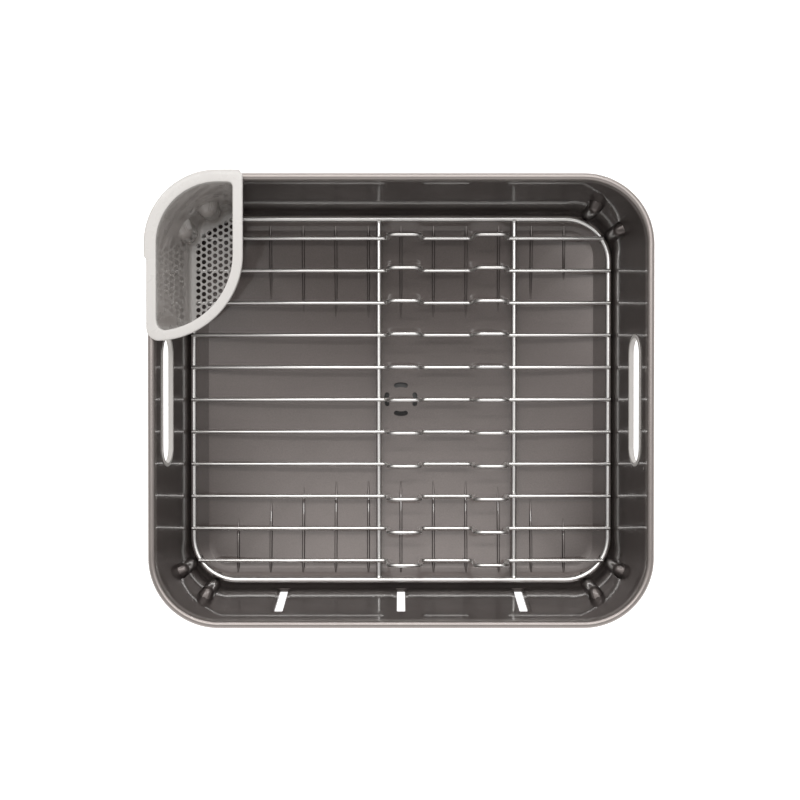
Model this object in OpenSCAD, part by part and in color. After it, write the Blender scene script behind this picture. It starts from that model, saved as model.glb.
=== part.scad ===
// Dish drying rack: a deep tub with a drain, a lift-out wire rack and a hook-in cutlery caddy.
// Millimetres, +Z up, X to the right, Y to the back; the origin is on the table under the tub's centre.

/* [Tub] */
// outer width of the rim along X
rim_x = 414; // [340:1:480]
// outer depth of the rim along Y
rim_y = 372; // [300:1:440]
// outer corner radius of the rim
rim_r = 58; // [40:1:80]
// height of the top of the rim above the table
tub_h = 140; // [110:1:180]
// width of the rolled bead around the rim
bead_w = 6.2; // [4:0.1:9]
// outward lean of the walls, millimetres per millimetre of height
draft = 0.125; // [0:0.005:0.25]
// thickness of the walls and the floor
wall = 2.4; // [1.8:0.1:4]
// height of the floor where it meets the walls
floor_edge_z = 21; // [14:0.5:30]
// height of the floor at the drain
floor_mid_z = 9; // [7:0.5:20]
// radius of the bend between floor and walls
bend_r = 15; // [6:0.5:20]

/* [Floor ribs] */
// ribs in each of the two rows
rib_count = 11; // [3:2:15]
// distance between neighbouring ribs
rib_pitch = 29.15; // [15:0.05:40]
// thickness of a rib
rib_t = 1.6; // [1:0.1:3]
// height of a rib above the floor's edge
rib_rise = 2; // [0.5:0.1:4]
// distance from the middle of the tub to the inner tip of the middle rib
rib_in = 74; // [40:1:120]

/* [Drain] */
// slots in the drain ring
drain_slots = 4; // [3:1:8]
// radius of the ring of slots
drain_r = 13.1; // [8:0.1:20]
// width of a slot
drain_w = 4.2; // [2:0.1:6]
// angle between the round ends of one slot
drain_arc = 37; // [10:1:60]
// angle between the round ends of one opening in the shutter
shutter_arc = 11; // [5:1:14]
// radius of the turning shutter under the drain
shutter_r = 19; // [16:0.5:30]

/* [Wall openings] */
// length of a handle opening, inside its trim
grip_len = 105; // [80:1:130]
// height of a handle opening, inside its trim
grip_h = 27.8; // [20:0.1:35]
// height of the middle of the handle openings
grip_z = 101.4; // [80:0.1:110]
// width of the trim's flange
trim_w = 3; // [2:0.1:6]
// distance between the narrow slots in the front wall
slot_pitch = 103; // [60:1:130]
// width of a front slot
slot_w = 7; // [4:0.1:12]
// length of a front slot along the wall
slot_len = 69; // [30:1:80]
// height of the middle of the front slots
slot_z = 72.5; // [50:0.5:90]

/* [Wire rack] */
// width of the frame between wire centres
frame_x = 368; // [300:0.2:400]
// depth of the frame between wire centres
frame_y = 320.6; // [250:0.2:360]
// corner radius of the frame at the wire's centre
frame_r = 38.5; // [20:0.5:60]
// diameter of the frame wire
frame_d = 5; // [3:0.1:6]
// height of the frame wire's centre
frame_z = 32; // [28:0.5:40]
// cross wires
wire_count = 11; // [5:2:15]
// distance between neighbouring cross wires
wire_pitch = 28.52; // [20:0.01:35]
// diameter of a cross wire
wire_d = 3.3; // [2:0.1:4]
// diameter of the two rails
rail_d = 4.4; // [3:0.1:5]
// distance between the two rails
rail_gap = 120; // [90:1:150]
// position of the plate zone's middle along X
zone_x = 40.4; // [0:0.1:60]
// distance between the middles of the two rows of loops
loop_gap = 75; // [50:1:90]
// width of a loop between wire centres
loop_w = 28; // [20:0.5:36]
// height of a loop above its wire
loop_h = 36; // [25:0.5:50]
// bend radius at the foot of a loop
loop_foot_r = 5; // [2:0.1:7]
// bend radius at the top of a loop
loop_top_r = 7; // [4:0.5:12]

/* [Caddy] */
// left edge of the caddy's flange
caddy_x0 = -207.3; // [-215:0.1:-200]
// right edge of the caddy's flange
caddy_x1 = -128.6; // [-140:0.2:-100]
// front edge of the caddy's flange
caddy_y0 = 48.9; // [20:0.1:80]
// width of the flange on the two free sides
caddy_lip = 8.4; // [5:0.1:12]
// radius of the flange's large front curve
caddy_front_r = 71; // [40:1:80]
// thickness of the caddy's flange
caddy_top_t = 3; // [2:0.1:4]
// thickness of the caddy's walls
caddy_wall = 2; // [1.5:0.1:3]
// height of the underside of the caddy
caddy_z = 38; // [37:0.1:60]
// diameter of a hole in the caddy's floor
hole_d = 4; // [2:0.1:5]
// distance between neighbouring holes
hole_pitch = 5.65; // [4:0.05:8]
// lean of the caddy's two free walls towards the corner, in degrees
caddy_draft = 2.6; // [0:0.1:4]

/* [Hidden] */
$fn = 48;
gap = 0.3;
lean = atan(draft);
core_x = rim_x / 2 - rim_r;
core_y = rim_y / 2 - rim_r;
bead_r = bead_w / 2;
wall_top_z = tub_h - 6;
u_top = rim_r - bead_w;
bend_z = floor_edge_z + bend_r;
bend_u = u_top - (wall_top_z - bend_z) * draft - bend_r / cos(lean);
bowl_half = 150;
flat_r = 8;
bowl_r = (bowl_half * bowl_half) / (2 * (floor_edge_z - floor_mid_z));
nub_r = 6;
nub_z = 76;
nub_turn = [25, 65];
nub_u = [42.3, 41.3];
shelf_r = 2.4;
leg_r = 10;
foot_r = 12;
foot_h = 9;
leg_x = 135;
leg_y = 112;
leg_z = 4;
pin_r = 4.3;
shutter_t = 2.2;
shutter_z = floor_mid_z - wall - gap - shutter_t;
cap_t = 1.2;
cap_r = 8;
screw_r = 1.6;
grip_r = grip_h / 2;
trim_in = 1;
trim_out = 0.7;
trim_sleeve = 1.2;
wire_z = frame_z + frame_d / 2 + wire_d / 2 - 0.1;
wire_end = frame_x / 2 + 1.4;
arc_x = frame_x / 2 - frame_r;
arc_y = frame_y / 2 - frame_r;
rail_z = wire_z - wire_d / 2 - rail_d / 2 + 0.05;
hook_t = 2;
hook_h = 7;
hook_y = 115;
caddy_top_z = tub_h + gap;
caddy_clear = 0.8;
bulge_clear = 0.8;
caddy_y1 = rim_y / 2 + gap;
steel = [0.80, 0.80, 0.79];
grey = [0.30, 0.28, 0.27];
light = [0.85, 0.83, 0.81];

// distance of the wall's inner face from the corner centre line at height z
function wall_u(z) = u_top - (wall_top_z - z) * draft;
// height of the floor at a point
function floor_z(x, y) = min(floor_edge_z, floor_mid_z + (x * x + y * y) / (2 * bowl_r));

// ---------- tub ----------

// half section of the tub's inner space, grown outwards by g
module space_half(g) {
  translate([0, floor_edge_z - g]) square([bend_u, 200 - floor_edge_z + g]);
  intersection() {
    translate([bend_u, bend_z]) circle(r = bend_r + g);
    translate([bend_u, 0]) square([100, 200]);
  }
  polygon([
    [bend_u, bend_z],
    [bend_u + (bend_r + g) * cos(lean), bend_z - (bend_r + g) * sin(lean)],
    [wall_u(200) + g / cos(lean), 200],
    [bend_u, 200]
  ]);
}

// a section carried along all four sides and around all four corners
module around() {
  for (k = [0:3]) {
    sx = (k == 0 || k == 3) ? 1 : -1;
    sy = (k < 2) ? 1 : -1;
    reach = (k % 2 == 0) ? core_x : core_y;
    run = (k % 2 == 0) ? core_y : core_x;
    rotate([0, 0, 90 * k]) translate([reach, 0, 0]) rotate([90, 0, 0])
      linear_extrude(2 * run, center = true) children();
    translate([sx * core_x, sy * core_y, 0]) rotate([0, 0, 90 * k])
      rotate_extrude(angle = 90, $fn = 96) children();
  }
}

module space(g, top) {
  intersection() {
    union() {
      around() space_half(g);
      translate([-core_x, -core_y, floor_edge_z - g]) cube([2 * core_x, 2 * core_y, 200 - floor_edge_z + g]);
    }
    translate([-300, -300, 0]) cube([600, 600, top]);
  }
}

// point of the wall a distance down its slope from the bend and out from its inner face
function wall_foot(down, out) = [
  bend_u + (bend_r + out) * cos(lean) - down * sin(lean),
  bend_z - (bend_r + out) * sin(lean) - down * cos(lean)
];

// section of the wall from the edge of the flat floor up to the bead
module wall_section() {
  intersection() {
    difference() {
      translate([bend_u, bend_z]) circle(r = bend_r + wall);
      translate([bend_u, bend_z]) circle(r = bend_r);
    }
    polygon([[bend_u, bend_z], [bend_u, 0], [bend_u + 60 * cos(lean), 0],
      [bend_u + 60 * cos(lean), bend_z - 60 * sin(lean)]]);
  }
  polygon([
    wall_foot(3, 0),
    wall_foot(0.6, wall - 0.02),
    [wall_u(tub_h - 8.5) + (wall - 0.02) / cos(lean), tub_h - 8.5],
    [rim_r, tub_h - 8.5],
    [rim_r, tub_h - bead_r],
    [rim_r - bead_w, tub_h - bead_r],
    [wall_u(wall_top_z), wall_top_z]
  ]);
  intersection() {
    translate([rim_r - bead_r, tub_h - bead_r]) circle(r = bead_r);
    translate([0, tub_h - bead_r]) square([200, 20]);
  }
}

// section of the dished floor from its flat middle outwards
module dish_section() {
  difference() {
    intersection() {
      translate([0, floor_mid_z + bowl_r]) circle(r = bowl_r + wall, $fn = 720);
      translate([flat_r, 0]) square([bowl_half + 0.5 - flat_r, floor_edge_z]);
    }
    translate([0, floor_mid_z + bowl_r]) circle(r = bowl_r, $fn = 720);
  }
  translate([0, floor_z(flat_r, 0) - wall - 0.02]) square([flat_r + 3, wall + 0.035]);
  translate([bowl_half, floor_edge_z - wall]) square([80, wall]);
}

module dish() {
  intersection() {
    rotate_extrude($fn = 360) dish_section();
    linear_extrude(floor_edge_z + 5) floor_outline();
  }
}

module floor_outline() {
  square([2 * core_x, 2 * (core_y + bend_u)], center = true);
  square([2 * (core_x + bend_u), 2 * core_y], center = true);
  for (sx = [-1, 1]) for (sy = [-1, 1])
    translate([sx * core_x, sy * core_y]) circle(r = bend_u);
}

// a boss against the corner wall, centred at distance u, and the step in front of it that carries the frame
module nub(u, step_u, step_v) {
  intersection() {
    translate([u, 0, 0]) union() {
      translate([0, 0, frame_z + 3]) cylinder(h = nub_z - frame_z - 3, r = nub_r);
      translate([0, 0, nub_z]) rotate([0, 45, 0]) sphere(r = nub_r);
    }
    translate([wall_u(0) + wall / 2, -20, 0]) rotate([0, lean, 0]) translate([-40, 0, 0]) cube([40, 40, 100]);
  }
  intersection() {
    translate([step_u + 0.5, step_v, 15]) cylinder(h = frame_z - frame_d / 2 - gap - 15, r = shelf_r);
    translate([step_u + 0.5, step_v, 22.8]) rotate([0, -35, 0]) translate([-20, -20, 0]) cube([40, 40, 40]);
  }
}

module nubs() {
  for (sx = [0, 1]) for (sy = [0, 1])
    mirror([sx, 0, 0]) mirror([0, sy, 0]) translate([core_x, core_y, 0]) for (k = [0, 1]) {
      p = [nub_u[k] * cos(nub_turn[k]), nub_u[k] * sin(nub_turn[k])];
      d = [p[0] + core_x - arc_x, p[1] + core_y - arc_y];
      q = [arc_x - core_x, arc_y - core_y] + d / norm(d) * frame_r;
      c = cos(nub_turn[k]);
      t = sin(nub_turn[k]);
      rotate([0, 0, nub_turn[k]]) nub(nub_u[k], q[0] * c + q[1] * t, q[1] * c - q[0] * t);
    }
}

module ribs() {
  for (i = [0:rib_count - 1]) for (s = [0, 1]) {
    x = (i - (rib_count - 1) / 2) * rib_pitch;
    yi = rib_in + pow(max(abs(x) - 50, 0), 2) * 0.0036;
    zi = floor_z(x, yi);
    ye = core_y + bend_u + 2;
    mirror([0, s, 0]) translate([x - rib_t / 2, 0, 0]) rotate([90, 0, 90]) linear_extrude(rib_t)
      polygon([[yi, zi - 0.2], [bowl_half, floor_edge_z + rib_rise], [ye - 1, floor_edge_z + rib_rise],
        [ye, floor_edge_z + rib_rise - 0.8], [ye, floor_edge_z - 0.6], [bowl_half, floor_edge_z - 1.2],
        [yi, zi - 1.6]]);
  }
}

module arc_slot(h, arc) {
  rotate([0, 0, -arc / 2]) {
    rotate_extrude(angle = arc, $fn = 96)
      translate([drain_r - drain_w / 2, 0]) square([drain_w, h]);
    for (a = [0, arc]) rotate([0, 0, a]) translate([drain_r, 0, 0]) cylinder(h = h, r = drain_w / 2 - 0.02);
  }
}

module arc_slots(z, h, turn, arc) {
  for (i = [0:drain_slots - 1])
    rotate([0, 0, turn + i * 360 / drain_slots]) translate([0, 0, z]) arc_slot(h, arc);
}

module obround(l, r) {
  square([l - 2 * r, 2 * r], center = true);
  for (s = [-1, 1]) translate([s * (l / 2 - r), 0]) circle(r = r);
}

// places a flat shape on the inner face of the right wall, extruded from n0 to n1 along its outward normal
module on_wall(reach, z, n0, n1) {
  translate([reach + wall_u(z), 0, z]) rotate([0, lean, 0]) translate([n0, 0, 0])
    rotate([90, 0, 90]) linear_extrude(n1 - n0) children();
}

module tub() {
  color(grey) difference() {
    union() {
      around() wall_section();
      dish();
      nubs();
      ribs();
      for (sx = [-1, 1]) for (sy = [-1, 1])
        translate([sx * leg_x, sy * leg_y, leg_z]) cylinder(h = floor_edge_z - 1.6 - leg_z, r = leg_r);
      translate([0, 0, shutter_z - gap]) cylinder(h = floor_mid_z - 1 - shutter_z + gap, r = pin_r);
      for (a = [-14, 59]) rotate([0, 0, a]) translate([27, 0, shutter_z + 0.6])
        cylinder(h = floor_mid_z - 1.4 - shutter_z, r = 2);
    }
    arc_slots(2, 12, 0, drain_arc);
    translate([0, 0, 1]) cylinder(h = 4.4, r = screw_r, $fn = 32);
    for (s = [0, 1]) mirror([s, 0, 0]) on_wall(core_x, grip_z, -2, wall + 2)
      obround(grip_len + 2 * trim_sleeve, grip_r + trim_sleeve);
    for (i = [-1:1]) rotate([0, 0, -90]) translate([0, i * slot_pitch, 0]) {
      on_wall(core_y, slot_z, -2, wall + 2) square([slot_w, slot_len], center = true);
      on_wall(core_y, slot_z, -2, 0.6) square([slot_w + 6, slot_len + 6], center = true);
    }
  }
}

module trim(s) {
  color(light) mirror([s, 0, 0]) difference() {
    union() {
      on_wall(core_x, grip_z, -trim_in, wall + trim_out) obround(grip_len + 2 * trim_sleeve, grip_r + trim_sleeve);
      on_wall(core_x, grip_z, -trim_in, 0) obround(grip_len + 2 * trim_w, grip_r + trim_w);
      on_wall(core_x, grip_z, wall, wall + trim_out) obround(grip_len + 2 * trim_w, grip_r + trim_w);
    }
    on_wall(core_x, grip_z, -5, wall + 5) obround(grip_len, grip_r);
  }
}

module foot(sx, sy) {
  color([0.18, 0.18, 0.18]) translate([sx * leg_x, sy * leg_y, 0]) difference() {
    cylinder(h = foot_h, r = foot_r);
    translate([0, 0, leg_z]) cylinder(h = foot_h, r = leg_r);
  }
}

// ---------- drain ----------

module drain_shutter() {
  color([0.12, 0.12, 0.12]) difference() {
    union() {
      translate([0, 0, shutter_z]) cylinder(h = shutter_t, r = shutter_r, $fn = 96);
      translate([15, -4, shutter_z]) cube([19, 8, shutter_t]);
      translate([34, 0, shutter_z]) cylinder(h = shutter_t, r = 4);
    }
    translate([0, 0, shutter_z - 1]) cylinder(h = shutter_t + 2, r = pin_r + gap);
    arc_slots(shutter_z - 1, shutter_t + 2, 180 / drain_slots, shutter_arc);
  }
}

module drain_screw() {
  color(steel) {
    translate([0, 0, shutter_z - gap - cap_t]) cylinder(h = cap_t, r = cap_r);
    translate([0, 0, shutter_z - gap - 0.1]) cylinder(h = 5.4 - shutter_z + gap, r = screw_r, $fn = 32);
  }
}

// ---------- wire rack ----------

module bar_x(x0, x1, d) {
  translate([x0, 0, 0]) rotate([0, 90, 0]) cylinder(h = x1 - x0, r = d / 2);
}

module rack_frame() {
  color(steel) translate([0, 0, frame_z]) {
    for (s = [-1, 1]) {
      translate([0, s * frame_y / 2, 0]) bar_x(-arc_x, arc_x, frame_d);
      translate([s * frame_x / 2, 0, 0]) rotate([90, 0, 0]) cylinder(h = 2 * arc_y, r = frame_d / 2, center = true);
    }
    for (k = [0:3]) {
      sx = (k == 0 || k == 3) ? 1 : -1;
      sy = (k < 2) ? 1 : -1;
      translate([sx * arc_x, sy * arc_y, 0]) rotate([0, 0, 90 * k])
        rotate_extrude(angle = 90, $fn = 96) translate([frame_r, 0]) circle(r = frame_d / 2, $fn = 32);
    }
  }
}

module rail(s) {
  color(steel) translate([zone_x + s * rail_gap / 2, 0, rail_z]) rotate([90, 0, 0])
    cylinder(h = frame_y - frame_d + 0.2, r = rail_d / 2, center = true);
}

// quarter bend in the XZ plane about the origin, from angle a to a + 90
module bend(r, a, d) {
  rotate([90, 0, 0]) rotate([0, 0, a]) rotate_extrude(angle = 90, $fn = 64)
    translate([r, 0]) circle(r = d / 2, $fn = 32);
}

module loop() {
  for (s = [0, 1]) mirror([s, 0, 0]) {
    translate([-loop_w / 2 - loop_foot_r, 0, loop_foot_r]) bend(loop_foot_r, 270, wire_d);
    translate([-loop_w / 2, 0, loop_foot_r]) cylinder(h = loop_h - loop_foot_r - loop_top_r, r = wire_d / 2, $fn = 32);
    translate([-loop_w / 2 + loop_top_r, 0, loop_h - loop_top_r]) bend(loop_top_r, 90, wire_d);
    translate([0, 0, loop_h]) bar_x(-loop_w / 2 + loop_top_r, 0, wire_d);
  }
}

module wire(i) {
  y = ((wire_count - 1) / 2 - i) * wire_pitch;
  over = max(abs(y) - arc_y, 0);
  end = arc_x + sqrt(frame_r * frame_r - over * over) + 1.6;
  half = loop_w / 2 + loop_foot_r;
  xa = zone_x - loop_gap / 2;
  xb = zone_x + loop_gap / 2;
  color(steel) translate([0, y, wire_z]) {
    bar_x(-end, xa - half, wire_d);
    translate([xa, 0, 0]) loop();
    bar_x(xa + half, xb - half, wire_d);
    translate([xb, 0, 0]) loop();
    bar_x(xb + half, end, wire_d);
  }
}

// ---------- caddy ----------

// removes what lies outside a rounded corner at (x, y); sx, sy point out of the shape
module cut_corner(x, y, sx, sy, r) {
  translate([x, y]) mirror([sx < 0 ? 1 : 0, 0]) mirror([0, sy < 0 ? 1 : 0]) difference() {
    translate([-r, -r]) square([r + 5, r + 5]);
    translate([-r, -r]) circle(r = r, $fn = 128);
  }
}

module leaf(in_rim, in_free, back_r, side_r, notch_r) {
  x0 = caddy_x0 + in_rim;
  x1 = caddy_x1 - in_free;
  y0 = caddy_y0 + in_free;
  y1 = caddy_y1 - in_rim;
  difference() {
    translate([x0, y0]) square([x1 - x0, y1 - y0]);
    cut_corner(x0, y1, -1, 1, back_r);
    cut_corner(x1, y1, 1, 1, notch_r);
    cut_corner(x0, y0, -1, -1, side_r);
    cut_corner(x1, y0, 1, -1, caddy_front_r - in_free);
  }
}

module bulges(grow) {
  mirror([1, 0, 0]) for (k = [0, 1])
    translate([core_x + nub_u[k] * cos(nub_turn[k]), core_y + nub_u[k] * sin(nub_turn[k]), 0]) {
      translate([0, 0, 20]) cylinder(h = nub_z - 20, r = nub_r + grow);
      translate([0, 0, nub_z]) sphere(r = nub_r + grow);
    }
}

module caddy_body(inset, z0, z1) {
  intersection() {
    space(-caddy_clear - inset, z1);
    translate([-300, 0, z0]) cube([300, 300, z1 - z0]);
    translate([caddy_x1, caddy_y0, caddy_top_z]) rotate([caddy_draft, caddy_draft, 0])
      translate([-caddy_x1, -caddy_y0, z0 - caddy_top_z - 15]) linear_extrude(z1 - z0 + 30)
        leaf(1, caddy_lip - caddy_wall + inset, 50, 18, 3);
  }
}

module caddy_holes() {
  cx = hole_pitch * cos(30);
  for (i = [0:9]) for (j = [0:20]) {
    x = -178.6 + i * cx;
    y = 62 + (j + (i % 2) / 2) * hole_pitch;
    ru = sqrt(pow(x + core_x, 2) + pow(y - core_y, 2));
    slip = (caddy_top_z - caddy_z) * tan(caddy_draft);
    fx = caddy_x1 - caddy_front_r - slip;
    fy = caddy_y0 + caddy_front_r + slip;
    rf = sqrt(pow(x - fx, 2) + pow(y - fy, 2));
    inside = x < caddy_x1 - slip - caddy_lip - 3.3 && y < core_y + wall_u(caddy_z) - 8.5;
    back = y < core_y || x > -core_x || ru < wall_u(caddy_z) - 8.5;
    front = y > fy || x < fx || rf < caddy_front_r - caddy_lip - 3.3;
    d0 = norm([x + core_x + nub_u[0] * cos(nub_turn[0]), y - core_y - nub_u[0] * sin(nub_turn[0])]);
    d1 = norm([x + core_x + nub_u[1] * cos(nub_turn[1]), y - core_y - nub_u[1] * sin(nub_turn[1])]);
    if (inside && back && front && d0 > nub_r + 5 && d1 > nub_r + 5)
      translate([x, y, caddy_z - 1]) cylinder(h = caddy_wall + 2, r = hole_d / 2, $fn = 20);
  }
}

module caddy() {
  color(light) difference() {
    union() {
      difference() {
        union() {
          caddy_body(0, caddy_z, caddy_top_z + 1);
          translate([0, 0, caddy_top_z]) linear_extrude(caddy_top_t) leaf(0, 0, rim_r, 11, 3);
        }
        caddy_body(caddy_wall, caddy_z + caddy_wall, caddy_top_z + 6);
      }
      // hook over the outside of the rim
      difference() {
        translate([0, 0, caddy_top_z + caddy_top_t - hook_h - caddy_top_t]) linear_extrude(hook_h + caddy_top_t)
          difference() {
            intersection() {
              translate([-hook_t, hook_t]) leaf(0, 0, rim_r, 11, 3);
              translate([-260, hook_y]) square([260 + caddy_x1, 200]);
            }
            leaf(0, -20, rim_r, 0.01, 0.01);
          }
      }
      intersection() {
        bulges(bulge_clear + caddy_wall);
        caddy_body(0, caddy_z, caddy_top_z);
      }
    }
    bulges(bulge_clear);
    caddy_holes();
  }
}

tub();
trim(1);  // trim_left
trim(0);  // trim_right
foot(-1, -1);  // foot_front_left
foot(1, -1);  // foot_front_right
foot(-1, 1);  // foot_rear_left
foot(1, 1);  // foot_rear_right
drain_shutter();
drain_screw();
rack_frame();
rail(-1);  // rail_left
rail(1);  // rail_right
wire(0);  // wire_01
wire(1);  // wire_02
wire(2);  // wire_03
wire(3);  // wire_04
wire(4);  // wire_05
wire(5);  // wire_06
wire(6);  // wire_07
wire(7);  // wire_08
wire(8);  // wire_09
wire(9);  // wire_10
wire(10);  // wire_11
caddy();
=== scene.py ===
import math

import bpy
import numpy as np
from mathutils import Matrix, Vector


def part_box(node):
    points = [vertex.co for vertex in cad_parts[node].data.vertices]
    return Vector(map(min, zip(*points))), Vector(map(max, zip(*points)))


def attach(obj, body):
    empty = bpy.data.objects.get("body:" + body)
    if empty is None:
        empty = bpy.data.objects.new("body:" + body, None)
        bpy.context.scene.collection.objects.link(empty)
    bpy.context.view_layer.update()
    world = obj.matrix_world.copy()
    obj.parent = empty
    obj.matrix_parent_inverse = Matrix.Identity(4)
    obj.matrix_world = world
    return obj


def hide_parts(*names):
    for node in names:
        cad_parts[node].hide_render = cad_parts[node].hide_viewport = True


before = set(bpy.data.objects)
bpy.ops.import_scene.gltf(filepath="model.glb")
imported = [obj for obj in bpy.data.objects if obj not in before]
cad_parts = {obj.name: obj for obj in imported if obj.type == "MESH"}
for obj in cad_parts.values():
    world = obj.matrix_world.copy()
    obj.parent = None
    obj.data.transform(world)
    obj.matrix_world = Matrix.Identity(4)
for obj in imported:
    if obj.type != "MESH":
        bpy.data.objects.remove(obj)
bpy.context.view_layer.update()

# ---------- sizes, in metres ----------
MM = 0.001

# tub; u is always the distance outwards from the core rectangle, whose corners are the rim rounds' middles
TUB_LO, TUB_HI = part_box("tub")
TUB_H = TUB_HI.z
RIM_X = TUB_HI.x - TUB_LO.x
RIM_Y = TUB_HI.y - TUB_LO.y
RIM_R = 58 * MM
CORNERS = ((1, 1), (-1, 1), (-1, -1), (1, -1))
CORE_X = RIM_X / 2 - RIM_R
CORE_Y = RIM_Y / 2 - RIM_R
# rolled rim: a bead on top and a skirt outside
BEAD_W = 6.2 * MM
BEAD_R = BEAD_W / 2
BEAD_ROOT = 4.6 * MM
SKIRT_H = 8.5 * MM
SKIRT_R = 0.8 * MM
SKIRT_IN_R = 1 * MM
# leaning wall and the round at its outer foot
DRAFT = 0.125
LEAN = math.atan(DRAFT)
WALL = 2.4 * MM
WALL_TOP = TUB_H - 6 * MM
U_TOP = RIM_R - BEAD_W
EDGE_Z = 21 * MM
MID_Z = 9 * MM
BEND_R = 15 * MM
BEND_Z = EDGE_Z + BEND_R
BEND_U = U_TOP - (WALL_TOP - BEND_Z) * DRAFT - BEND_R / math.cos(LEAN)
# floor inside: a dish, its crisp edge, a sloping band and a round into the wall
DISH_U = 22.5 * MM
DISH_Z = 20.9 * MM
DISH_TILT = math.radians(9)
BAND_TILT = math.radians(27)
BAND_END = math.pi / 2 - LEAN
BAND_R = 13.5 * MM
BAND_MAX = 25 * MM
EDGE_R = 2.2 * MM
HUB_R = 3 * MM
CUT_PAST = 3 * MM
# spacing of the mesh around the tub, and its levels up the wall, close together over the bosses' tops
SIDE_STEP = 4 * MM
CORNER_STEPS = 120
WALL_LEVELS = np.concatenate([np.linspace(38.5, 64, 12), np.linspace(66, 86, 32),
                              np.linspace(89, 134, 10)]) * MM

# bosses in the corners, with their turns in degrees, and the steps that carry the rack
NUB_R = 6 * MM
NUB_Z = 76 * MM
NUB_TURN = (25, 65)
NUB_U = (42.3 * MM, 41.3 * MM)
NUB_SPAN = math.radians(24)
NUB_BLEND = 1.6 * MM
STEP_R = 2.2 * MM
STEP_FOOT = 23.2 * MM
STEP_GAP = 0.3 * MM

# fins on the floor
RIB_COUNT = 11
RIB_PITCH = 29.15 * MM
RIB_T = 1.6 * MM
RIB_RISE = 2 * MM
RIB_H = 2.4 * MM
RIB_IN = 74 * MM
# fins beyond RIB_FLAT from the middle start further out, by RIB_CURVE times the square of the excess
RIB_FLAT = 50 * MM
RIB_CURVE = 3.6

# curved slots of the drain and the openings in the shutter; arcs in degrees
DRAIN_R = 13.1 * MM
DRAIN_W = 4.2 * MM
DRAIN_ARC = 37
DRAIN_CUT = (1 * MM, 14 * MM)
SHUTTER_ARC = 11

# handle openings and their trims, then the front slots in their recesses
GRIP_LEN = 105 * MM
GRIP_R = 13.9 * MM
GRIP_Z = 101.4 * MM
TRIM_W = 3 * MM
TRIM_IN = 1 * MM
TRIM_OUT = 0.7 * MM
TRIM_SLEEVE = 1.2 * MM
SLOT_PITCH = 103 * MM
SLOT_W = 7 * MM
SLOT_LEN = 69 * MM
SLOT_R = 1.2 * MM
SLOT_Z = 72.5 * MM
RECESS_EDGE = 3 * MM
RECESS_R = 3 * MM
RECESS_DEPTH = 0.5 * MM

# wire rack: frame, cross wires, rails and plate loops
FRAME_LO, FRAME_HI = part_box("rack_frame")
FRAME_D = FRAME_HI.z - FRAME_LO.z
FRAME_X = FRAME_HI.x - FRAME_LO.x - FRAME_D
FRAME_Y = FRAME_HI.y - FRAME_LO.y - FRAME_D
FRAME_Z = (FRAME_HI.z + FRAME_LO.z) / 2
FRAME_R = 38.5 * MM
ARC_X = FRAME_X / 2 - FRAME_R
ARC_Y = FRAME_Y / 2 - FRAME_R
WIRES = ["wire_%02d" % i for i in range(1, 12)]
WIRE_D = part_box("wire_01")[1].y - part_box("wire_01")[0].y
WIRE_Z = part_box("wire_01")[0].z + WIRE_D / 2
RAIL_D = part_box("rail_left")[1].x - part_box("rail_left")[0].x
RAIL_X = [sum(p.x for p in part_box(n)) / 2 for n in ("rail_left", "rail_right")]
RAIL_Z = sum(p.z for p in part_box("rail_left")) / 2
ZONE_X = sum(RAIL_X) / 2
LOOP_GAP = 75 * MM
LOOP_W = 28 * MM
LOOP_H = 36 * MM
LOOP_FOOT = 5 * MM
LOOP_TOP = 7 * MM
WELD_H = 0.8 * MM

# caddy: its X0 and Y1 sides hang on the rim, its X1 and Y0 sides are free and lean in
CADDY_LO, CADDY_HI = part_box("caddy")
HOOK_T = 2 * MM
HOOK_H = 7 * MM
HOOK_Y = 115 * MM
CAD_X0 = CADDY_LO.x + HOOK_T
CAD_X1 = CADDY_HI.x
CAD_Y0 = CADDY_LO.y
CAD_Y1 = CADDY_HI.y - HOOK_T
CAD_TOP = CADDY_HI.z
CAD_T = 3 * MM
CAD_Z = CADDY_LO.z
CAD_WALL = 2 * MM
CAD_LIP = 8.4 * MM
CAD_GAP = 0.8 * MM
CAD_ROUND = 3 * MM
CAD_FRONT_R = 71 * MM
CAD_BACK_R = 50 * MM
CAD_SIDE_R = 18 * MM
CAD_NOTCH_R = 6 * MM
CAD_LEAN = math.tan(math.radians(2.6))
FLANGE_R = 1.2 * MM
MOUTH_R = 0.8 * MM
# middle of the rays that trace the caddy, their number, and the mesh's levels outside and inside
CADDY_C = np.array([-0.170, 0.118])
CAD_RAYS = 560
CAD_OUT_LEVELS = np.concatenate([np.linspace(43, 68, 8), np.linspace(70, 87, 18),
                                 np.linspace(92, 138, 7)]) * MM
CAD_IN_LEVELS = np.concatenate([np.linspace(138, 92, 8), np.linspace(88, 70, 20),
                                np.linspace(67, 45, 8)]) * MM
HOLE_D = 4 * MM
HOLE_PITCH = 5.65 * MM
HOLE_X = -178.6 * MM
HOLE_Y = 62 * MM
# least distance of a hole's centre from the back wall, from the free walls and from a boss
HOLE_WALL = 8.5 * MM
HOLE_EDGE = 3.3 * MM
HOLE_NUB = NUB_R + 5 * MM

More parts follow.
